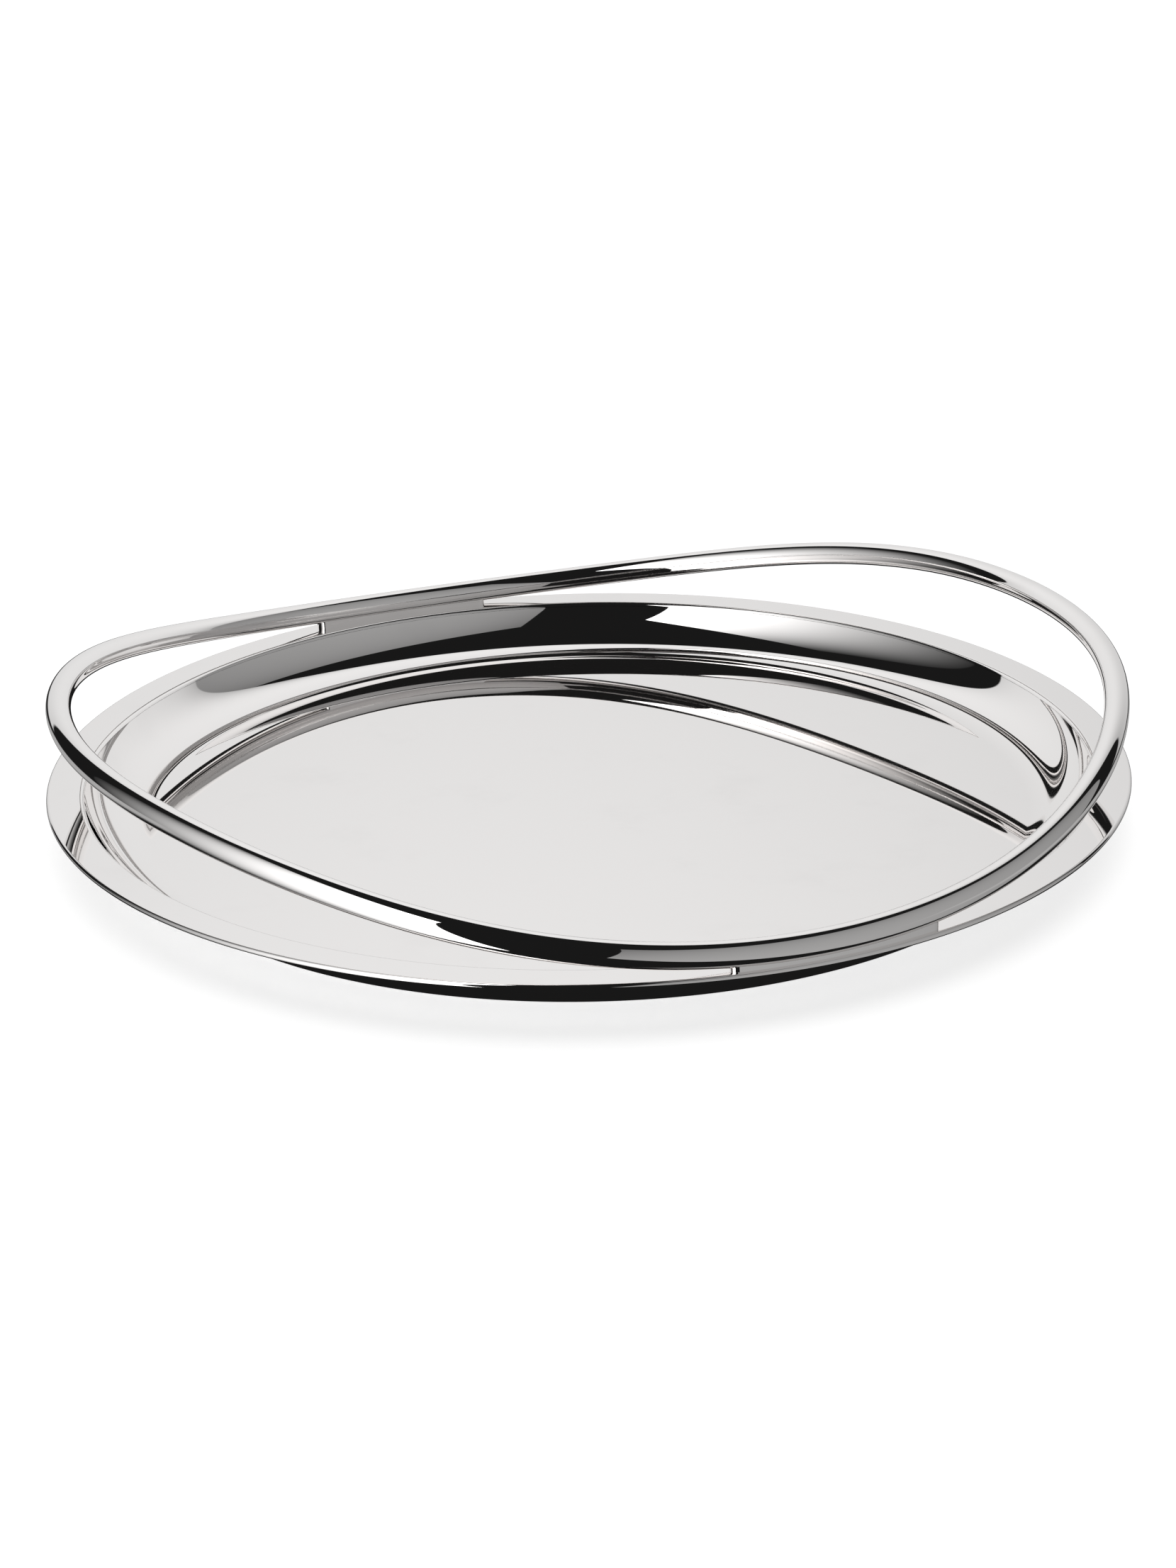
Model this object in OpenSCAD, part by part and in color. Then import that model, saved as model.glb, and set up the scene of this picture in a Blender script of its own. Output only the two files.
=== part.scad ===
// Round serving tray with one raised ring that forms both handles.
// Millimetres, +Z up. The origin is the centre of the foot, on the table.
// X runs through the two handles and Y crosses the two low seats of the ring.

/* [Tray] */
// Diameter over the rolled edge
tray_d = 440; // [430:1:520]
// Thickness of the spun sheet
sheet = 0.7; // [0.5:0.1:1]
// Radius of the flat floor
floor_r = 180; // [150:0.5:182]
// Depth of the well, from the lip down to the floor
well_depth = 18; // [18:0.5:20]
// Horizontal distance from the edge of the floor to the start of the flange
wall_run = 26.8; // [24:0.1:27]
// Steepest slope of the wall, in degrees
wall_angle = 67; // [60:1:67]
// Outside radius of the rounded lip
lip_r = 2.2; // [1.5:0.1:3]
// Upward slope of the flange, in degrees
flange_slope = 1.5; // [0:0.5:3]
// Diameter of the wire inside the rolled edge
wire_d = 0.9; // [0.6:0.1:1.2]

/* [Foot] */
// Height of the foot, from the table to the underside of the floor
foot_h = 3.3; // [2:0.1:5]
// How far the foot's outer edge lies outside the flat floor, on the table
foot_reach = 6.5; // [4:0.5:7]
// Width of the foot on the table
foot_w = 3; // [2:0.5:3]
// How far the foot flares out and in, up to the floor
foot_flare = 1.2; // [0.5:0.1:1.2]
// Radius of the foot's lower edges
foot_edge = 0.6; // [0.3:0.1:0.8]

/* [Handle ring] */
// Outside diameter of the ring's tube
tube_d = 10; // [8:0.5:11]
// Wall thickness of the tube
tube_wall = 1; // [0.8:0.1:1.5]
// Distance from the rim in to the tube's centre, at the handles
handle_inset = 8; // [5:0.5:14]
// Distance from the rim in to the tube's centre, at the seats
seat_inset = 5; // [5:0.5:8]
// Rise of the tube's centre from its seats to the top of the handles
handle_rise = 33.3; // [20:0.1:60]
// Flattening of the ring over its seats and handles
shoulder = 1.1; // [0:0.1:3]
// Fullness of the ring where it turns into each handle
crown = 0.6; // [0:0.1:2]

/* [Seats] */
// Thinnest part of the spacer, under the middle of its seat
seat_gap = 0.4; // [0.3:0.1:3]
// Angle that each spacer spans, in degrees
spacer_span = 22; // [14:1:30]
// Turn of the spacers and of the tube's joints from the ring's lowest points, in degrees
spacer_turn = 2.5; // [0:2.5:5]
// Width of the spacers
spacer_w = 7; // [5:0.5:7]
// Radius of the spacers' upright corners
spacer_corner = 2.2; // [1:0.1:2.4]
// Angle that each joint pin reaches into both tube ends, in degrees
pin_reach = 5; // [3:1:8]

/* [Hidden] */
$fn = 180;

silver = [0.86, 0.86, 0.85];
brass = [0.80, 0.66, 0.36];
steel = [0.62, 0.63, 0.65];

// Clearance of the wire in its roll, of the foot under the floor, of the pins in the tube
// and of the spacer below it
wire_play = 0.02;
foot_play = 0.02;
pin_play = 0.05;
seat_play = 0.02;

tray_r = tray_d / 2;
tube_r = tube_d / 2;
bore_r = tube_r - tube_wall;
bead_r = wire_d / 2 + sheet;

// The cove and the straight wall share out the well's depth and the wall's run.
arc_run = wall_run - lip_r * (sin(wall_angle) - sin(flange_slope));
arc_rise = well_depth - lip_r * (cos(flange_slope) - cos(wall_angle));
cove_r = (arc_run * sin(wall_angle) - arc_rise * cos(wall_angle)) / (1 - cos(wall_angle));
wall_len = (arc_rise * sin(wall_angle) - arc_run * (1 - cos(wall_angle))) / (1 - cos(wall_angle));

// Height of the floor's upper face
floor_z = foot_h + sheet;
cove_centre = [floor_r, floor_z + cove_r];
wall_top = cove_centre + cove_r * [sin(wall_angle), -cos(wall_angle)]
         + wall_len * [cos(wall_angle), sin(wall_angle)];
lip_centre = wall_top + lip_r * [sin(wall_angle), -cos(wall_angle)];
flange_start = lip_centre + lip_r * [-sin(flange_slope), cos(flange_slope)];

// Height of the flange's upper face at radius r
function flange_z(r) = flange_start[1] + (r - flange_start[0]) * tan(flange_slope);

bead_x = tray_r - bead_r;
bead_centre = [bead_x, flange_z(bead_x) - bead_r / cos(flange_slope)];
// How far round the sheet is rolled over the wire
roll_angle = 280;

// Points along an arc about centre c, from angle a0 to angle a1, in about 6 degree steps
function arc(c, r, a0, a1) =
    let (steps = max(2, ceil(abs(a1 - a0) / 6)))
    [for (i = [0 : steps]) let (a = a0 + (a1 - a0) * i / steps) c + r * [cos(a), sin(a)]];

pan_outline = concat(
    [[0, floor_z]],
    arc(cove_centre, cove_r, -90, wall_angle - 90),
    arc(lip_centre, lip_r, 90 + wall_angle, 90 + flange_slope),
    arc(bead_centre, bead_r, 90 + flange_slope, 90 + flange_slope - roll_angle),
    arc(bead_centre, wire_d / 2, 90 + flange_slope - roll_angle, 90 + flange_slope),
    arc(lip_centre, lip_r - sheet, 90 + flange_slope, 90 + wall_angle),
    arc(cove_centre, cove_r + sheet, wall_angle - 90, -90),
    [[0, foot_h]]
);

// Height of the underside of the floor and cove at radius r, less the play over the foot
function under_z(r) = foot_h - foot_play + (r <= floor_r ? 0 :
    cove_r + sheet - sqrt(pow(cove_r + sheet, 2) - pow(r - floor_r, 2)));

// Radius of the outer edge of the foot, on the table
foot_r = floor_r + foot_reach;
foot_top_in = foot_r - foot_w - foot_flare;
foot_top_out = foot_r + foot_flare;

foot_outline = concat(
    arc([foot_r - foot_w + foot_edge, foot_edge], foot_edge, 180, 270),
    arc([foot_r - foot_edge, foot_edge], foot_edge, 270, 360),
    [for (i = [0 : 8]) let (r = foot_top_out + (foot_top_in - foot_top_out) * i / 8) [r, under_z(r)]]
);

// The ring's centre line, as a function of the angle a about Z
handle_plan_r = tray_r - handle_inset;
seat_plan_r = tray_r - seat_inset;
seat_z = flange_z(seat_plan_r) + tube_r + seat_gap;
mid_z = seat_z + handle_rise / 2;

function plan_r(a) = (handle_plan_r + seat_plan_r) / 2 + (handle_plan_r - seat_plan_r) / 2 * cos(2 * a);

function ring_z(a) = mid_z + handle_rise / 2 * cos(2 * a)
                   - shoulder * (cos(4 * a) - 1)
                   - crown * (cos(6 * a) - cos(2 * a));

function ring_point(a) = [plan_r(a) * cos(a), plan_r(a) * sin(a), ring_z(a)];

function unit(v) = v / norm(v);

// Half the angle across which the ring's direction is measured
probe = 0.05;

function ring_direction(a) = unit(ring_point(a + probe) - ring_point(a - probe));

// The two directions across the tube: outwards from the axis, and up
function outward(a) = let (t = ring_direction(a), r = [cos(a), sin(a), 0]) unit(r - t * (r * t));
function upward(a) = unit(cross(outward(a), ring_direction(a)));

// Sides of the tube's section, and the angle between its sections
sides = 24;
step = 2.5;

function tube_loop(a, r) = [
    for (j = [0 : sides - 1]) let (q = 360 * j / sides)
    ring_point(a) + r * (cos(q) * outward(a) + sin(q) * upward(a))
];

function quads(a, b, c, d) = [[a, b, c], [a, c, d]];

// Skin between successive loops of n points, the first point being number base
function skin(base, loops, n, inside = false) = [
    for (i = [0 : loops - 2]) for (j = [0 : n - 1])
    let (p = base + i * n + j, q = base + i * n + (j + 1) % n)
    for (f = inside ? quads(p, p + n, q + n, q) : quads(p, q, q + n, p + n)) f
];

// Flat faces that close the first loop of n points and the loop that starts at point last
function end_caps(last, n) = [
    [for (j = [n - 1 : -1 : 0]) j],
    [for (j = [0 : n - 1]) last + j]
];

// Bent tube from angle a0 to angle a1, with flat open ends
module bent_tube(a0, a1, outer, inner) {
    loops = round((a1 - a0) / step) + 1;
    angles = [for (i = [0 : loops - 1]) a0 + (a1 - a0) * i / (loops - 1)];
    inner_base = loops * sides;
    last = (loops - 1) * sides;
    points = concat(
        [for (a = angles) for (p = tube_loop(a, outer)) p],
        [for (a = angles) for (p = tube_loop(a, inner)) p]
    );
    ends = [
        for (j = [0 : sides - 1]) let (k = (j + 1) % sides)
        for (f = concat(
            quads(j, inner_base + j, inner_base + k, k),
            quads(last + j, last + k, inner_base + last + k, inner_base + last + j)
        )) f
    ];
    faces = concat(skin(0, loops, sides), skin(inner_base, loops, sides, true), ends);
    polyhedron(points, faces, convexity = 6);
}

// Bent solid bar from angle a0 to angle a1
module bent_bar(a0, a1, r) {
    loops = round((a1 - a0) / step) + 1;
    angles = [for (i = [0 : loops - 1]) a0 + (a1 - a0) * i / (loops - 1)];
    last = (loops - 1) * sides;
    points = [for (a = angles) for (p = tube_loop(a, r)) p];
    polyhedron(points, concat(skin(0, loops, sides), end_caps(last, sides)));
}

// Half the spacer's width at a distance s along it from its middle
function spacer_half_w(s, half_len) =
    let (past = max(0, abs(s) - (half_len - spacer_corner)))
    spacer_w / 2 - spacer_corner + sqrt(max(0, pow(spacer_corner, 2) - pow(past, 2)));

// Strips across the spacer's saddle, and sections along it
saddle_strips = 8;
spacer_sections = 40;

// One cross-section of the spacer at angle a: its two lower corners, then the saddle
function spacer_loop(a, w) = concat(
    [for (x = [-w, w]) let (r = plan_r(a) + x) [r * cos(a), r * sin(a), flange_z(r)]],
    [for (i = [0 : saddle_strips]) let (
        x = w - 2 * w * i / saddle_strips,
        r = plan_r(a) + x,
        z = ring_z(a) - sqrt(pow(tube_r + seat_play, 2) - x * x)
    ) [r * cos(a), r * sin(a), z]]
);

// Thin curved block that fills the wedge between the flange and the tube
module spacer(middle) {
    n = saddle_strips + 3;
    half_len = spacer_span / 2 * seat_plan_r * PI / 180;
    angles = [for (i = [0 : spacer_sections]) middle - spacer_span / 2 * cos(180 * i / spacer_sections)];
    points = [
        for (a = angles)
        for (p = spacer_loop(a, spacer_half_w((a - middle) * seat_plan_r * PI / 180, half_len))) p
    ];
    last = spacer_sections * n;
    polyhedron(points, concat(skin(0, spacer_sections + 1, n), end_caps(last, n)), convexity = 4);
}

rear_seat = 90 + spacer_turn;
front_seat = 270 + spacer_turn;

module tray_pan() {
    color(silver) rotate_extrude() polygon(pan_outline);
}

module foot_ring() {
    color(silver) rotate_extrude() polygon(foot_outline);
}

module edge_wire() {
    color(steel) rotate_extrude() translate(bead_centre) circle(r = wire_d / 2 - wire_play, $fn = 24);
}

module handle_tube_right() {
    color(silver) bent_tube(front_seat - 360, rear_seat, tube_r, bore_r);
}

module handle_tube_left() {
    color(silver) bent_tube(rear_seat, front_seat, tube_r, bore_r);
}

module spacer_front() {
    color(silver) spacer(front_seat);
}

module spacer_rear() {
    color(silver) spacer(rear_seat);
}

module joint_pin_front() {
    color(brass) bent_bar(front_seat - pin_reach, front_seat + pin_reach, bore_r - pin_play);
}

module joint_pin_rear() {
    color(brass) bent_bar(rear_seat - pin_reach, rear_seat + pin_reach, bore_r - pin_play);
}

tray_pan();
edge_wire();
foot_ring();
handle_tube_right();
handle_tube_left();
spacer_front();
spacer_rear();
joint_pin_front();
joint_pin_rear();
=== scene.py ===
"""Looks of a round serving tray with one raised ring that forms both of its handles."""

import logging
import math
from collections.abc import Sequence
from dataclasses import dataclass, field
from enum import Enum

import bmesh
import bpy
from mathutils import Matrix, Vector


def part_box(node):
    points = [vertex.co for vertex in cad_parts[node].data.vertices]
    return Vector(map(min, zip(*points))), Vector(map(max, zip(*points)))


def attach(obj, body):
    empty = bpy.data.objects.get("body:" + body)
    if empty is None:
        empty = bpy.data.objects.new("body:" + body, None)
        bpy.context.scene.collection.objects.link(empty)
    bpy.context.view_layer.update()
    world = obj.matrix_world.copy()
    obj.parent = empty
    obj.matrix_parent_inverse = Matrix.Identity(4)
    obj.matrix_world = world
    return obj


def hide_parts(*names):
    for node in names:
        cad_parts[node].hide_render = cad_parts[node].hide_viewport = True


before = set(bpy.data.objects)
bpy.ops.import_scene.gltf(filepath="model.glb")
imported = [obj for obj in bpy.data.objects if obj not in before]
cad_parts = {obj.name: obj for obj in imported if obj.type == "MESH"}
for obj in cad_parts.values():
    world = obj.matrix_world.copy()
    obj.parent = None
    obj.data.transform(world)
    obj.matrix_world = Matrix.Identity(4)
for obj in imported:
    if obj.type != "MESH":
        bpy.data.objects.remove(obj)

log = logging.getLogger("serving_tray")

MM = 0.001
BODY = "root"
DISPLAY_GAMMA = 2.2
SHARP_ANGLE = math.radians(35)
MERGE_DISTANCE = 0.002 * MM
SEAT_INSET = 5 * MM
CURVE_PROBE = math.radians(0.05)
DARKEST_GREY = 0.01


class Slot(Enum):
    """The record's material slots."""

    SILVER_PLATE = "silver_plate"
    EDGE_WIRE = "edge_wire"
    BRASS = "brass"


def linear(code: str) -> tuple[float, float, float, float]:
    """Turns an sRGB hex colour into a linear one.

    Args:
        code: Six hex digits, red first.

    Returns:
        Linear red, green and blue, and an alpha of 1.
    """
    channels = [int(code[i : i + 2], 16) / 255 for i in (0, 2, 4)]
    low, high = 12.92, 1.055
    return (*(c / low if c <= 0.04045 else ((c + high - 1) / high) ** 2.4 for c in channels), 1.0)


def add_node(
    tree: bpy.types.NodeTree, kind: str, settings: dict | None = None, **inputs: object
) -> bpy.types.Node:
    """Adds one node with its settings and links.

    Args:
        tree: The node tree that gets the node.
        kind: Blender's name of the node's type, without its "ShaderNode" prefix.
        settings: Attributes to set on the node itself.
        **inputs: A value or an output socket for each named input. "_" stands for a
            space, and a name that starts with "i" and a number is that input's place.

    Returns:
        The new node.
    """
    node = tree.nodes.new(f"ShaderNode{kind}")
    for key, value in (settings or {}).items():
        setattr(node, key, value)
    for key, value in inputs.items():
        place = int(key[1:]) if key[0] == "i" and key[1:].isdigit() else key.replace("_", " ")
        socket = node.inputs[place]
        if isinstance(value, bpy.types.NodeSocket):
            tree.links.new(value, socket)
        else:
            socket.default_value = value
    return node


def blank_material(name: str) -> tuple[bpy.types.Material, bpy.types.NodeTree]:
    """Makes a material with an empty node tree.

    Args:
        name: The material's name.

    Returns:
        The material and its tree.
    """
    material = bpy.data.materials.new(name)
    material.use_nodes = True
    material.node_tree.nodes.clear()
    return material, material.node_tree


@dataclass(frozen=True)
class MirrorSilverPlate:
    """Silver plate, buffed to a mirror: it shows its surroundings sharply, a little warm and soft.

    The buffing wheel leaves a gentle swell in the sheet, and handling leaves a haze that is
    only just less sharp than the clean metal.
    """

    name: str
    colour: str = "FCFAF9"
    haze_colour: str = "F9F7F6"
    roughness: float = 0.012
    haze_roughness: float = 0.026
    haze_mm: float = 42.0
    haze_from: float = 0.52
    haze_full: float = 0.78
    swirl_mm: float = 0.9
    swirl_roughness: float = 0.006
    swell_mm: float = 34.0
    swell_height_mm: float = 0.0004

    def make(self) -> bpy.types.Material:
        """Makes the material.

        Returns:
            The finished material.
        """
        material, tree = blank_material(self.name)
        place = add_node(tree, "TexCoord").outputs["Object"]
        haze = add_node(
            tree, "TexNoise", Vector=place, Scale=1 / (self.haze_mm * MM), Detail=5.0, Roughness=0.6,
        )
        haze_share = add_node(
            tree, "MapRange", {"interpolation_type": "SMOOTHSTEP"},
            Value=haze.outputs["Fac"], From_Min=self.haze_from, From_Max=self.haze_full,
        )
        # Buffing marks are far finer; they are drawn as patches of gloss 1 mm across, so that they show.
        swirl = add_node(
            tree, "TexNoise", Vector=place, Scale=1 / (self.swirl_mm * MM), Detail=2.0, Roughness=0.5,
        )
        rough = add_node(
            tree, "MapRange",
            Value=haze_share.outputs["Result"], To_Min=self.roughness, To_Max=self.haze_roughness,
        )
        fine = add_node(
            tree, "Math", {"operation": "MULTIPLY_ADD"},
            i0=swirl.outputs["Fac"], i1=self.swirl_roughness, i2=rough.outputs["Result"],
        )
        tint = add_node(
            tree, "Mix", {"data_type": "RGBA"},
            i0=haze_share.outputs["Result"], i6=linear(self.colour), i7=linear(self.haze_colour),
        )
        swell = add_node(
            tree, "TexNoise", Vector=place, Scale=1 / (self.swell_mm * MM), Detail=1.0, Roughness=0.4,
        )
        bump = add_node(
            tree, "Bump", Strength=1.0, Distance=self.swell_height_mm * MM, Height=swell.outputs["Fac"],
        )
        shader = add_node(
            tree, "BsdfPrincipled",
            Base_Color=tint.outputs[2], Metallic=1.0,
            Roughness=fine.outputs[0], Normal=bump.outputs["Normal"],
        )
        add_node(tree, "OutputMaterial", Surface=shader.outputs["BSDF"])
        return material


@dataclass(frozen=True)
class DrawnMetal:
    """Wire or rod pulled through a die: satin, with a fine, uneven grain."""

    name: str
    colour: str
    dark_colour: str
    roughness: float
    roughness_swing: float = 0.06
    grain_mm: float = 0.25
    grain_depth_mm: float = 0.01

    def make(self) -> bpy.types.Material:
        """Makes the material.

        Returns:
            The finished material.
        """
        material, tree = blank_material(self.name)
        place = add_node(tree, "TexCoord").outputs["Object"]
        grain = add_node(tree, "TexNoise", Vector=place, Scale=1 / (self.grain_mm * MM), Detail=3.0)
        tint = add_node(
            tree, "Mix", {"data_type": "RGBA"},
            i0=grain.outputs["Fac"], i6=linear(self.dark_colour), i7=linear(self.colour),
        )
        rough = add_node(
            tree, "MapRange",
            Value=grain.outputs["Fac"],
            To_Min=self.roughness - self.roughness_swing, To_Max=self.roughness + self.roughness_swing,
        )
        bump = add_node(
            tree, "Bump", Strength=0.4, Distance=self.grain_depth_mm * MM, Height=grain.outputs["Fac"],
        )
        shader = add_node(
            tree, "BsdfPrincipled",
            Base_Color=tint.outputs[2], Metallic=1.0,
            Roughness=rough.outputs["Result"], Normal=bump.outputs["Normal"],
        )
        add_node(tree, "OutputMaterial", Surface=shader.outputs["BSDF"])
        return material


def finished_piece(mesh: bmesh.types.BMesh, name: str, material: bpy.types.Material) -> bpy.types.Object:
    """Turns a bmesh into a smooth shaded object that rides on the tray's body.

    Args:
        mesh: The shape, in metres in the tray's own frame. It is freed.
        name: The piece's name.
        material: Its finish.

    Returns:
        The new object, at the origin.
    """
    for face in mesh.faces:
        face.smooth = True
    for edge in mesh.edges:
        edge.smooth = len(edge.link_faces) != 2 or edge.calc_face_angle(0.0) < SHARP_ANGLE
    data = bpy.data.meshes.new(name)
    mesh.to_mesh(data)
    mesh.free()
    data.materials.append(material)
    piece = bpy.data.objects.new(name, data)
    bpy.context.scene.collection.objects.link(piece)
    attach(piece, BODY)
    return piece


@dataclass
class OutlinePen:
    """Draws an upright outline in the XZ plane by extruding and spinning its last point."""

    mesh: bmesh.types.BMesh
    tip: bmesh.types.BMVert

    def line_to(self, point: Vector) -> None:
        """Extrudes the last point straight to another one."""
        grown = bmesh.ops.extrude_vert_indiv(self.mesh, verts=[self.tip])
        self.tip = grown["verts"][0]
        self.tip.co = point

    def straight(self, point: Vector, margin: float) -> None:
        """Extrudes a straight run with a support point near each of its ends.

        Args:
            point: Where the run ends.
            margin: Distance of the support points from the ends.
        """
        start = self.tip.co.copy()
        along = (point - start).normalized() * margin
        for place in (start + along, point - along, point):
            self.line_to(place)

    def turn(self, centre: Vector, angle: float, steps: int) -> None:
        """Spins the last point about a centre.

        Args:
            centre: Centre of the arc.
            angle: Angle in radians, counter-clockwise as seen from the front.
            steps: Number of straight pieces in the arc.
        """
        made = bmesh.ops.spin(
            self.mesh, geom=[self.tip], cent=centre, axis=(0, -1, 0),
            angle=angle, steps=steps, use_merge=False,
        )
        self.tip = made["geom_last"][0]


def spin_round(mesh: bmesh.types.BMesh, turns: int) -> None:
    """Spins everything in a mesh once round the Z axis and closes the seam and poles.

    Args:
        mesh: The mesh, which holds one upright outline.
        turns: Number of flat strips in the full turn.
    """
    bmesh.ops.spin(
        mesh, geom=[*mesh.verts, *mesh.edges], cent=(0, 0, 0), axis=(0, 0, 1),
        angle=math.tau, steps=turns, use_merge=True,
    )
    bmesh.ops.remove_doubles(mesh, verts=mesh.verts, dist=MERGE_DISTANCE)


def upright(x: float, z: float) -> Vector:
    """A point of the XZ plane."""
    return Vector((x, 0.0, z))


def polar(centre: Vector, radius: float, angle: float) -> Vector:
    """The point at a radius and angle (radians) about a centre in the XZ plane."""
    return centre + upright(radius * math.cos(angle), radius * math.sin(angle))


@dataclass
class TrayPan:
    """The spun sheet: flat floor, cove, short wall, rounded lip, flange and rolled edge.

    Attributes:
        rim_r: Radius over the rolled edge.
        base: Height of the floor's underside.
        sheet: Thickness of the sheet.
        floor_r: Radius of the flat floor.
        well_depth: Depth from the lip to the floor.
        wall_run: Horizontal distance from the floor to the flange.
        wall_angle: Steepest slope of the wall, in radians.
        lip_r: Outside radius of the lip.
        flange_slope: Upward slope of the flange, in radians.
        wire_r: Radius of the wire in the rolled edge.
        roll_angle: How far the sheet goes round the wire, in radians.
        support: Distance of the support points from the ends of a straight run.
        turns: Number of flat strips round the pan.
        upper_arcs: Straight pieces in the cove, the lip and the roll, on the upper face.
        under_arcs: The same for the lower face.
    """

    rim_r: float
    base: float
    sheet: float = 0.7 * MM
    floor_r: float = 180 * MM
    well_depth: float = 18 * MM
    wall_run: float = 26.8 * MM
    wall_angle: float = math.radians(67)
    lip_r: float = 2.2 * MM
    flange_slope: float = math.radians(1.5)
    wire_r: float = 0.45 * MM
    roll_angle: float = math.radians(280)
    support: float = 0.25 * MM
    turns: int = 448
    upper_arcs: tuple[int, int, int] = (40, 24, 32)
    under_arcs: tuple[int, int, int] = (24, 16, 16)

    def __post_init__(self) -> None:
        """Works out where the cove, the lip and the rolled edge are centred."""
        steep, flat = self.wall_angle, self.flange_slope
        run = self.wall_run - self.lip_r * (math.sin(steep) - math.sin(flat))
        rise = self.well_depth - self.lip_r * (math.cos(flat) - math.cos(steep))
        spread = 1 - math.cos(steep)
        self.cove_r = (run * math.sin(steep) - rise * math.cos(steep)) / spread
        self.wall_len = (rise * math.sin(steep) - run * spread) / spread
        self.floor_z = self.base + self.sheet
        self.cove = upright(self.floor_r, self.floor_z + self.cove_r)
        wall_foot = polar(self.cove, self.cove_r, steep - math.pi / 2)
        wall_top = polar(wall_foot, self.wall_len, steep)
        self.lip = polar(wall_top, self.lip_r, steep - math.pi / 2)
        self.flange_start = polar(self.lip, self.lip_r, math.pi / 2 + flat)
        self.bead_r = self.wire_r + self.sheet
        bead_x = self.rim_r - self.bead_r
        self.bead = upright(bead_x, self.flange_z(bead_x) - self.bead_r / math.cos(flat))

    def flange_z(self, r: float) -> float:
        """Height of the flange's upper face at a radius."""
        return self.flange_start.z + (r - self.flange_start.x) * math.tan(self.flange_slope)

    def under_z(self, r: float) -> float:
        """Height of the underside of the floor and cove at a radius."""
        outer = self.cove_r + self.sheet
        past = max(0.0, r - self.floor_r)
        return self.base + outer - math.sqrt(outer**2 - past**2)

    def build(self) -> bmesh.types.BMesh:
        """Draws the outline of the sheet and spins it into the closed pan.

        Returns:
            The pan's mesh.
        """
        mesh = bmesh.new()
        pen = OutlinePen(mesh, mesh.verts.new(upright(0.0, self.floor_z)))
        level, steep = math.pi / 2 + self.flange_slope, self.wall_angle
        bend = steep - self.flange_slope
        cove_up, lip_up, roll_out = self.upper_arcs
        cove_under, lip_under, roll_in = self.under_arcs
        pen.straight(upright(self.floor_r, self.floor_z), self.support)
        pen.turn(self.cove, steep, cove_up)
        pen.straight(polar(self.lip, self.lip_r, math.pi / 2 + steep), self.support)
        pen.turn(self.lip, -bend, lip_up)
        pen.straight(polar(self.bead, self.bead_r, level), self.support)
        pen.turn(self.bead, -self.roll_angle, roll_out)
        pen.line_to(polar(self.bead, self.wire_r, level - self.roll_angle))
        pen.turn(self.bead, self.roll_angle, roll_in)
        pen.straight(polar(self.lip, self.lip_r - self.sheet, level), self.support)
        pen.turn(self.lip, bend, lip_under)
        pen.straight(polar(self.cove, self.cove_r + self.sheet, steep - math.pi / 2), self.support)
        pen.turn(self.cove, -steep, cove_under)
        pen.straight(upright(0.0, self.base), self.support)
        spin_round(mesh, self.turns)
        bmesh.ops.recalc_face_normals(mesh, faces=mesh.faces)
        return mesh

    def dress(self, material: bpy.types.Material) -> bpy.types.Object:
        """Makes the pan's object in its finish.

        Args:
            material: The silver plate.

        Returns:
            The piece that stands for the sheet.
        """
        piece = finished_piece(self.build(), "silver_pan", material)
        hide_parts("tray_pan")
        return piece


@dataclass
class FootRing:
    """The low ring under the floor that the tray stands on.

    Attributes:
        pan: The pan that it carries.
        outer_top: Radius of its outer edge, at the top.
        flare: How far it flares out and in from the table up to the floor.
        width: Width on the table.
        edge: Radius of its lower edges.
        play: Gap between it and the floor.
        edge_steps: Straight pieces in each lower edge.
        top_steps: Straight pieces across its top, which follows the floor and cove.
    """

    pan: TrayPan
    outer_top: float
    flare: float = 1.2 * MM
    width: float = 3 * MM
    edge: float = 0.6 * MM
    play: float = 0.02 * MM
    edge_steps: int = 8
    top_steps: int = 12

    def build(self) -> bmesh.types.BMesh:
        """Draws the ring's section and spins it.

        Returns:
            The ring's mesh.
        """
        mesh = bmesh.new()
        outer = self.outer_top - self.flare
        inner = outer - self.width
        inner_top = inner - self.flare
        start = mesh.verts.new(upright(inner, self.edge))
        pen = OutlinePen(mesh, start)
        pen.turn(upright(inner + self.edge, self.edge), math.pi / 2, self.edge_steps)
        pen.line_to(upright(outer - self.edge, 0.0))
        pen.turn(upright(outer - self.edge, self.edge), math.pi / 2, self.edge_steps)
        for step in range(self.top_steps + 1):
            r = self.outer_top + (inner_top - self.outer_top) * step / self.top_steps
            pen.line_to(upright(r, self.pan.under_z(r) - self.play))
        bmesh.ops.contextual_create(mesh, geom=[pen.tip, start])
        spin_round(mesh, self.pan.turns)
        bmesh.ops.recalc_face_normals(mesh, faces=mesh.faces)
        return mesh

    def dress(self, material: bpy.types.Material) -> bpy.types.Object:
        """Makes the foot's object in its finish.

        Args:
            material: The silver plate.

        Returns:
            The piece that stands for the foot.
        """
        piece = finished_piece(self.build(), "silver_foot_ring", material)
        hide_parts("foot_ring")
        return piece


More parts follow.
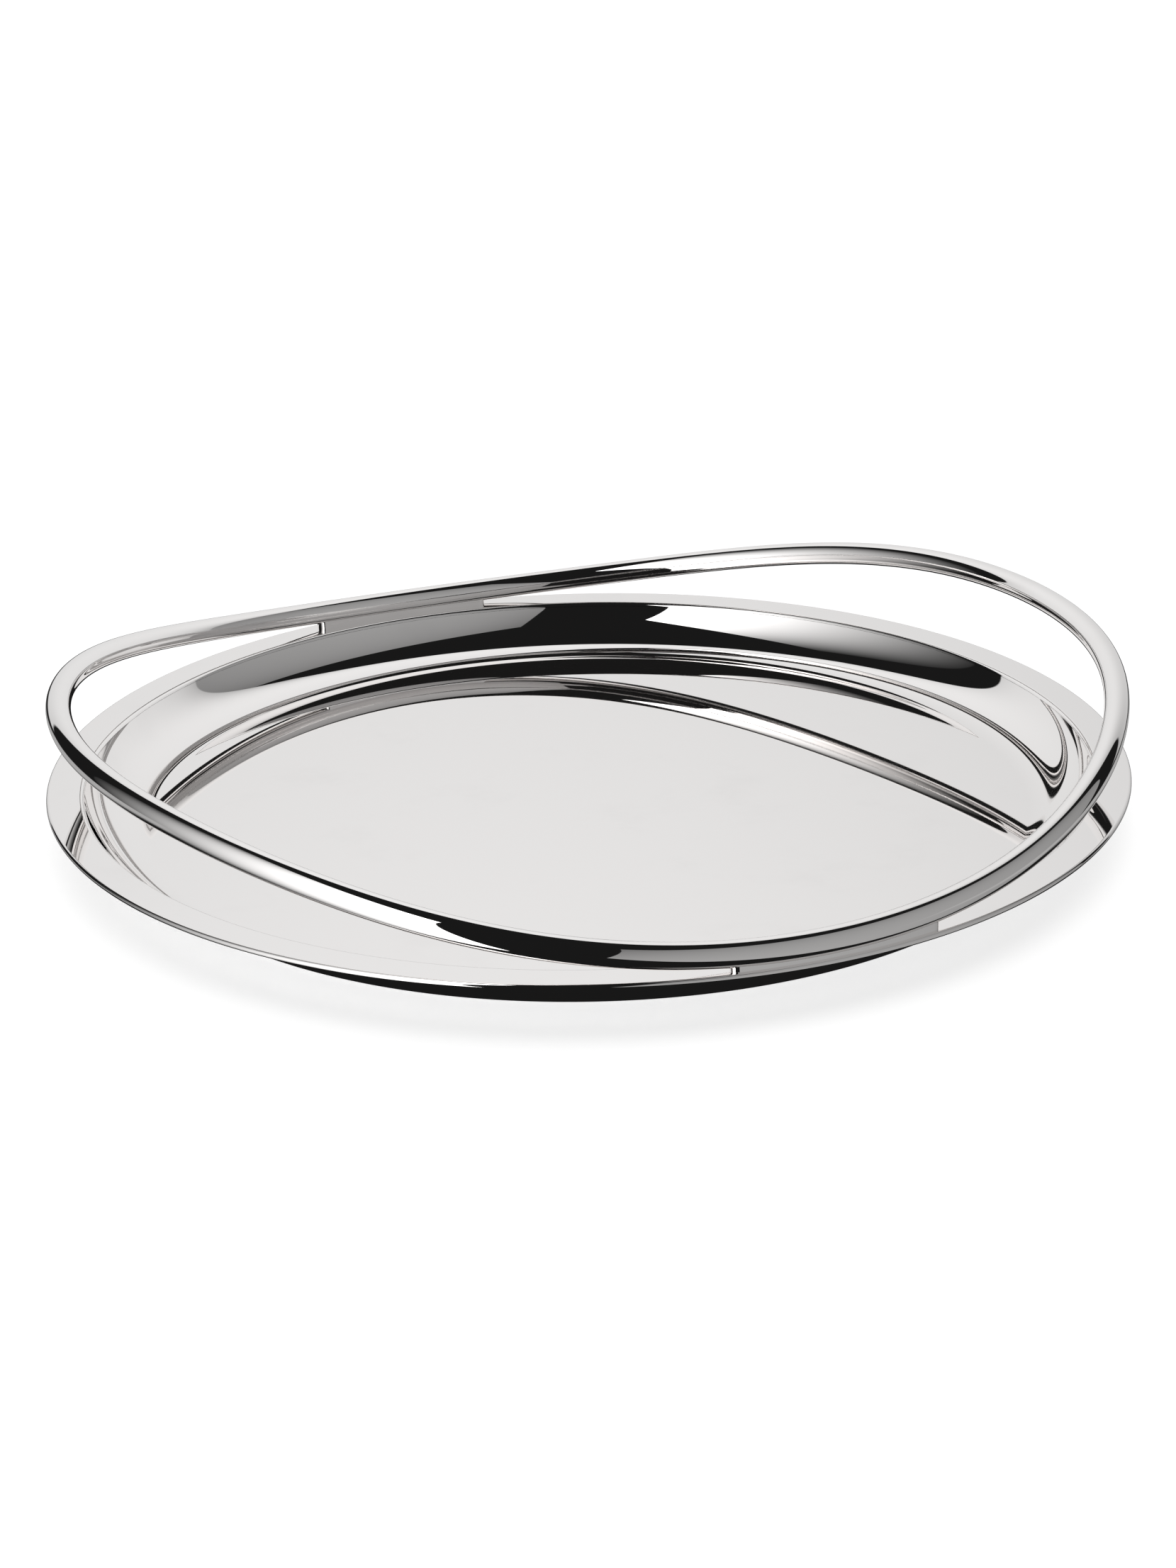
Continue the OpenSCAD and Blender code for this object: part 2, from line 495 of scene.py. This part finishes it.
@dataclass
class HandleRing:
    """The closed, waved ring of round tube over the flange.

    Attributes:
        handle_plan_r: Plan radius of the tube's centre at the handles.
        seat_plan_r: Plan radius of the tube's centre at the seats.
        seat_z: Height of the tube's centre at the seats.
        crest_z: Height of the tube's centre at the handles.
        tube_r: Outside radius of the tube.
        wall: Wall thickness of the tube.
        shoulder: Flattening over the seats and handles.
        crown: Fullness where the ring turns into each handle.
        sections: Number of sections round the ring.
        sides: Number of sides of the tube.
    """

    handle_plan_r: float
    seat_plan_r: float
    seat_z: float
    crest_z: float
    tube_r: float = 5 * MM
    wall: float = 1 * MM
    shoulder: float = 1.1 * MM
    crown: float = 0.6 * MM
    sections: int = 600
    sides: int = 48

    def plan_r(self, a: float) -> float:
        """Plan radius of the centre line at an angle in radians."""
        mean = (self.handle_plan_r + self.seat_plan_r) / 2
        swing = (self.handle_plan_r - self.seat_plan_r) / 2
        return mean + swing * math.cos(2 * a)

    def height(self, a: float) -> float:
        """Height of the centre line at an angle in radians."""
        middle, swing = (self.crest_z + self.seat_z) / 2, (self.crest_z - self.seat_z) / 2
        flat = self.shoulder * (math.cos(4 * a) - 1)
        full = self.crown * (math.cos(6 * a) - math.cos(2 * a))
        return middle + swing * math.cos(2 * a) - flat - full

    def point(self, a: float) -> Vector:
        """Point of the centre line at an angle in radians."""
        r = self.plan_r(a)
        return Vector((r * math.cos(a), r * math.sin(a), self.height(a)))

    def placing(self, a: float) -> Matrix:
        """The move that takes an upright section at this angle to its place square to the centre line.

        Args:
            a: Angle about Z, in radians.

        Returns:
            A matrix for a section that stands at the seats' plan radius and at height 0.
        """
        along = (self.point(a + CURVE_PROBE) - self.point(a - CURVE_PROBE)).normalized()
        radial = Vector((math.cos(a), math.sin(a), 0.0))
        outward = (radial - along * radial.dot(along)).normalized()
        upward = outward.cross(along)
        new_axes = Matrix((outward, along, upward)).transposed().to_4x4()
        old_axes = Matrix.Rotation(a, 4, "Z") @ Matrix.Translation((self.seat_plan_r, 0, 0))
        return Matrix.Translation(self.point(a)) @ new_axes @ old_axes.inverted()

    def build(self) -> bmesh.types.BMesh:
        """Spins a plain ring of tube, then moves each of its sections onto the waved line.

        Returns:
            The ring's mesh, with its bore.
        """
        mesh = bmesh.new()
        stand = Matrix.Translation((self.seat_plan_r, 0, 0)) @ Matrix.Rotation(math.pi / 2, 4, "X")
        bmesh.ops.create_circle(mesh, segments=self.sides, radius=self.tube_r, matrix=stand)
        spin_round(mesh, self.sections)
        pitch = math.tau / self.sections
        slices: dict[int, list[bmesh.types.BMVert]] = {}
        for vert in mesh.verts:
            number = round(math.atan2(vert.co.y, vert.co.x) / pitch) % self.sections
            slices.setdefault(number, []).append(vert)
        for number, verts in slices.items():
            bmesh.ops.transform(mesh, matrix=self.placing(number * pitch), verts=verts)
        bmesh.ops.recalc_face_normals(mesh, faces=mesh.faces)
        bmesh.ops.solidify(mesh, geom=mesh.faces[:], thickness=self.wall)
        return mesh

    def dress(self, material: bpy.types.Material) -> bpy.types.Object:
        """Makes the ring's object in its finish.

        Args:
            material: The silver plate.

        Returns:
            The piece that stands for both halves of the tube.
        """
        piece = finished_piece(self.build(), "silver_handle_ring", material)
        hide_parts("handle_tube_right", "handle_tube_left")
        return piece


@dataclass
class SeatSpacer:
    """The thin curved block in the wedge between the flange and the ring.

    Attributes:
        node: The CAD node that it stands for.
        name: The piece's name.
    """

    node: str
    name: str

    def build(self) -> bmesh.types.BMesh:
        """Merges a copy of the CAD node's loose triangles, so that it can be shaded smoothly.

        Returns:
            The block's mesh.
        """
        mesh = bmesh.new()
        mesh.from_mesh(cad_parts[self.node].data)
        bmesh.ops.remove_doubles(mesh, verts=mesh.verts, dist=MERGE_DISTANCE)
        bmesh.ops.recalc_face_normals(mesh, faces=mesh.faces)
        return mesh

    def dress(self, material: bpy.types.Material) -> bpy.types.Object:
        """Makes the block's object in its finish.

        Args:
            material: The silver plate.

        Returns:
            The piece that stands for the spacer.
        """
        piece = finished_piece(self.build(), self.name, material)
        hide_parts(self.node)
        return piece


@dataclass
class HiddenMetal:
    """CAD nodes inside the rolled edge and the tube that keep their shape."""

    nodes: Sequence[str]
    slot: Slot

    def dress(self, material: bpy.types.Material) -> None:
        """Gives each node its finish.

        Args:
            material: The metal's finish.
        """
        for name in self.nodes:
            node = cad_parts[name]
            node.data.materials.clear()
            node.data.materials.append(material)
            log.info("%s: %d faces, as in the CAD", name, len(node.data.polygons))


def staged(
    name: str, mesh: bmesh.types.BMesh, material: bpy.types.Material, place: Matrix
) -> bpy.types.Object:
    """Makes one object of the studio.

    Args:
        name: The object's name.
        mesh: Its shape. It is freed.
        material: Its finish.
        place: Where it stands.

    Returns:
        The new object.
    """
    data = bpy.data.meshes.new(name)
    mesh.to_mesh(data)
    mesh.free()
    data.materials.append(material)
    thing = bpy.data.objects.new(name, data)
    thing.matrix_world = place
    bpy.context.scene.collection.objects.link(thing)
    return thing


def glowing(name: str, strength: float) -> bpy.types.Material:
    """Makes an even glow.

    Args:
        name: The material's name.
        strength: Its brightness, where 1 is white.

    Returns:
        The material.
    """
    material, tree = blank_material(name)
    lamp = add_node(tree, "Emission", Strength=strength)
    add_node(tree, "OutputMaterial", Surface=lamp.outputs[0])
    return material


@dataclass
class Card:
    """A flat panel of soft light that only reflections see.

    Attributes:
        name: The panel's name.
        centre: Its centre, in metres, in the camera's own heading.
        turns: Its heading, its tilt from level and its turn in its own plane, in radians.
        half: Half its width and half its height, in metres.
        grey: Its brightness in the middle, as a display grey from 0 to 1.
        slope: Change of that grey from the middle to the right edge and to the top edge.
        bow: Extra grey at both side edges, and at both the top and bottom edge.
        soft: Width of its soft edge, in metres.
    """

    name: str
    centre: tuple[float, float, float]
    turns: tuple[float, float, float]
    half: tuple[float, float]
    grey: float
    slope: tuple[float, float] = (0.0, 0.0)
    bow: tuple[float, float] = (0.0, 0.0)
    soft: float = 0.03

    def finish(self) -> bpy.types.Material:
        """Makes the panel's glow, brighter on one side than on the other.

        Returns:
            The panel's material.
        """
        material, tree = blank_material(self.name)
        place = add_node(tree, "TexCoord").outputs["Object"]
        size = (*self.half, 1.0)
        share = add_node(tree, "VectorMath", {"operation": "DIVIDE"}, i0=place, i1=size).outputs[0]
        square = add_node(tree, "VectorMath", {"operation": "MULTIPLY"}, i0=share, i1=share).outputs[0]
        lean = add_node(tree, "VectorMath", {"operation": "DOT_PRODUCT"}, i0=share, i1=(*self.slope, 0.0))
        bend = add_node(tree, "VectorMath", {"operation": "DOT_PRODUCT"}, i0=square, i1=(*self.bow, 0.0))
        grey = add_node(
            tree, "Math", {"operation": "ADD"}, i0=lean.outputs["Value"], i1=bend.outputs["Value"],
        )
        grey = add_node(tree, "Math", {"operation": "ADD"}, i0=grey.outputs[0], i1=self.grey)
        grey = add_node(tree, "Math", {"operation": "MAXIMUM"}, i0=grey.outputs[0], i1=DARKEST_GREY)
        level = add_node(tree, "Math", {"operation": "POWER"}, i0=grey.outputs[0], i1=DISPLAY_GAMMA)
        reach = add_node(tree, "VectorMath", {"operation": "ABSOLUTE"}, i0=place).outputs[0]
        room = add_node(tree, "VectorMath", {"operation": "SUBTRACT"}, i0=size, i1=reach).outputs[0]
        sides = add_node(tree, "SeparateXYZ", Vector=room)
        nearest = add_node(
            tree, "Math", {"operation": "MINIMUM"}, i0=sides.outputs["X"], i1=sides.outputs["Y"],
        )
        mask = add_node(
            tree, "MapRange", {"interpolation_type": "SMOOTHSTEP"},
            Value=nearest.outputs[0], From_Max=self.soft,
        )
        glow = add_node(tree, "Emission", Strength=level.outputs[0])
        clear = add_node(tree, "BsdfTransparent")
        mix = add_node(tree, "MixShader", i0=mask.outputs["Result"], i1=clear.outputs[0], i2=glow.outputs[0])
        add_node(tree, "OutputMaterial", Surface=mix.outputs[0])
        return material

    def build(self, heading: Matrix) -> bpy.types.Object:
        """Makes the panel.

        Args:
            heading: Turn of the whole studio about Z.

        Returns:
            The panel's object.
        """
        mesh = bmesh.new()
        bmesh.ops.create_grid(mesh, x_segments=1, y_segments=1, size=1.0)
        bmesh.ops.scale(mesh, verts=mesh.verts, vec=(*self.half, 1.0))
        yaw, tilt, spin = self.turns
        facing = Matrix.Rotation(yaw, 4, "Z") @ Matrix.Rotation(tilt, 4, "X") @ Matrix.Rotation(spin, 4, "Z")
        panel = staged(self.name, mesh, self.finish(), heading @ Matrix.Translation(self.centre) @ facing)
        panel.visible_camera = False
        panel.visible_diffuse = False
        panel.visible_shadow = False
        return panel


def studio_cards() -> list[Card]:
    """The backdrop behind the tray, the softbox at either side of it, and patches of painted light for the
    table beside it.
    """
    # The first three were fitted by least squares to the bands of light on the ring and the pan.
    return [
        Card(
            "rear_backdrop", centre=(0.107, 0.591, 0.816), turns=(-0.062, 1.256, -0.013),
            half=(0.647, 0.855),
            grey=0.927, slope=(-0.071, -0.006), bow=(-0.154, -0.063),
        ),
        Card(
            "left_softbox", centre=(-1.089, -0.634, 0.179), turns=(1.838, 1.631, -0.017),
            half=(1.209, 2.571),
            grey=0.981, slope=(-0.656, 0.039), bow=(-0.155, -0.013),
        ),
        Card(
            "right_softbox", centre=(1.683, -1.103, 1.747), turns=(-1.977, 1.545, 0.308),
            half=(2.631, 3.314),
            grey=0.588, slope=(-0.001, -0.069), bow=(-0.075, -0.013),
        ),
        # The table at either side of the tray, drawn as glowing patches of painted light that only
        # reflections see.
        Card(
            "left_painted_table_light", centre=(-0.330, 0.020, -0.0006), turns=(0.0, 0.0, 0.0), half=(0.110, 0.200),
            grey=0.66, soft=0.060,
        ),
        Card(
            "right_painted_table_light", centre=(0.330, -0.030, -0.0006), turns=(0.0, 0.0, 0.0), half=(0.110, 0.250),
            grey=0.66, soft=0.060,
        ),
    ]


@dataclass
class Studio:
    """The pale floor and wall, the soft light, the panels and the camera.

    Attributes:
        floor_r: Radius of the floor.
        azimuth: Heading of the camera about Z.
        elevation: How far the camera looks down.
        roll: Turn of the camera about its own line of sight.
        distance: From the camera to the tray, along the line of sight.
        offset: How far the line of sight passes to the left of the target and below it.
        target_z: Height of the target on the tray's axis.
        lens: The camera's focal length, in mm.
        room: Brightness of the dark room.
        wall_r: Radius of the pale wall.
        shade_r: Radius of the dark shade under the tray.
        floor_level: Brightness that the overhead light gives a white floor.
        table_glow: Brightness of the floor's own glow.
        silk_angle: How wide the overhead light is.
        silk_tilt: How far the overhead light leans back or forward.
        cards: The panels that reflections see.
    """

    floor_r: float = 8.0
    azimuth: float = math.radians(-21.3521)
    elevation: float = math.radians(21.3884)
    roll: float = math.radians(-1.1976)
    distance: float = 1297.01 * MM
    offset: tuple[float, float] = (0.308 * MM, 10.12 * MM)
    target_z: float = 21.776 * MM
    lens: float = 72.57
    room: float = 0.0096
    wall_r: float = 7.6
    shade_r: float = 226 * MM
    floor_level: float = 0.42
    table_glow: float = 0.79
    silk_angle: float = math.radians(80)
    silk_tilt: float = math.radians(-14)
    cards: list[Card] = field(default_factory=studio_cards)

    def build_floor(self) -> None:
        """Lays the pale floor, which glows as well as being lit, so that shadows on it stay faint."""
        mesh = bmesh.new()
        bmesh.ops.create_circle(mesh, cap_ends=True, segments=96, radius=self.floor_r)
        material, tree = blank_material("pale_paper")
        paper = add_node(tree, "BsdfDiffuse", Color=linear("F4F4F4"), Roughness=0.5)
        lamp = add_node(tree, "Emission", Strength=self.table_glow)
        both = add_node(tree, "AddShader", i0=paper.outputs[0], i1=lamp.outputs[0])
        add_node(tree, "OutputMaterial", Surface=both.outputs[0])
        floor = staged("floor", mesh, material, Matrix.Identity(4))
        floor.visible_glossy = False

    def build_wall(self) -> None:
        """Closes the view above the floor with a pale wall that neither lights nor is reflected."""
        mesh = bmesh.new()
        bmesh.ops.create_uvsphere(mesh, u_segments=48, v_segments=24, radius=self.wall_r)
        wall = staged("pale_wall", mesh, glowing("pale_wall", 1.0), Matrix.Identity(4))
        wall.visible_glossy = False
        wall.visible_diffuse = False
        wall.visible_transmission = False
        wall.visible_shadow = False

    def build_shade(self) -> None:
        """Lays the dark shade under the tray, which only reflections see."""
        mesh = bmesh.new()
        bmesh.ops.create_circle(mesh, cap_ends=True, segments=96, radius=self.shade_r)
        place = Matrix.Translation((0.0, 0.0, -0.3 * MM))
        shade = staged("shade", mesh, glowing("shaded_paper", self.room), place)
        shade.visible_camera = False
        shade.visible_diffuse = False
        shade.visible_shadow = False

    def build_camera(self) -> None:
        """Places the camera."""
        right = Vector((1.0, 0.0, 0.0))
        up = Vector((0.0, math.sin(self.elevation), math.cos(self.elevation)))
        ahead = Vector((0.0, math.cos(self.elevation), -math.sin(self.elevation)))
        place = -ahead * self.distance - right * self.offset[0] - up * self.offset[1]
        place += Vector((0.0, 0.0, self.target_z))
        cam_right = math.cos(self.roll) * right + math.sin(self.roll) * up
        cam_up = -math.sin(self.roll) * right + math.cos(self.roll) * up
        axes = Matrix((cam_right, cam_up, -ahead)).transposed().to_4x4()
        data = bpy.data.cameras.new("camera")
        data.lens = self.lens
        data.sensor_width = 36.0
        data.clip_start, data.clip_end = 0.05, 100.0
        camera = bpy.data.objects.new("camera", data)
        camera.matrix_world = Matrix.Rotation(self.azimuth, 4, "Z") @ Matrix.Translation(place) @ axes
        bpy.context.scene.collection.objects.link(camera)
        bpy.context.scene.camera = camera

    def build_light(self) -> None:
        """Sets the dark room, the floor's soft light and the panels."""
        scene = bpy.context.scene
        world = bpy.data.worlds.new("dark_room")
        world.use_nodes = True
        world.node_tree.nodes["Background"].inputs["Color"].default_value = (*[self.room] * 3, 1)
        scene.world = world
        scene.view_settings.view_transform = "Standard"
        heading = Matrix.Rotation(self.azimuth, 4, "Z")
        for card in self.cards:
            card.build(heading)
        data = bpy.data.lights.new("overhead_silk", "SUN")
        data.energy = self.floor_level * math.pi
        data.angle = self.silk_angle
        silk = bpy.data.objects.new("overhead_silk", data)
        silk.matrix_world = heading @ Matrix.Rotation(self.silk_tilt, 4, "X")
        silk.visible_glossy = False
        scene.collection.objects.link(silk)

    def build(self) -> None:
        """Builds the whole studio."""
        self.build_floor()
        self.build_wall()
        self.build_shade()
        self.build_camera()
        self.build_light()


def build_tray() -> None:
    """Builds every piece of the tray and reports it."""
    silver = MirrorSilverPlate("mirror_silver_plate").make()
    steel = DrawnMetal("drawn_steel_wire", "B9BBBE", "8E9196", 0.32).make()
    brass = DrawnMetal("drawn_brass_rod", "E0C079", "B08D4C", 0.30).make()
    pan_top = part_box("tray_pan")[1]
    pan = TrayPan(rim_r=pan_top.x, base=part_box("tray_pan")[0].z)
    low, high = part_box("handle_tube_right")
    tube_r = HandleRing.tube_r
    ring = HandleRing(
        handle_plan_r=high.x - tube_r, seat_plan_r=pan_top.x - SEAT_INSET,
        seat_z=low.z + tube_r, crest_z=high.z - tube_r,
    )
    foot = FootRing(pan, outer_top=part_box("foot_ring")[1].x)
    pieces = [pan.dress(silver), foot.dress(silver), ring.dress(silver)]
    for side in ("front", "rear"):
        pieces.append(SeatSpacer(f"spacer_{side}", f"silver_seat_{side}").dress(silver))
    for piece in pieces:
        log.info("%s: %d faces", piece.name, len(piece.data.polygons))
    HiddenMetal(("edge_wire",), Slot.EDGE_WIRE).dress(steel)
    HiddenMetal(("joint_pin_front", "joint_pin_rear"), Slot.BRASS).dress(brass)


def main() -> None:
    """Builds the tray and its studio."""
    logging.basicConfig(level=logging.INFO, format="%(name)s: %(message)s")
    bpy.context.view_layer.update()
    build_tray()
    Studio().build()


if __name__ == "__main__":
    main()
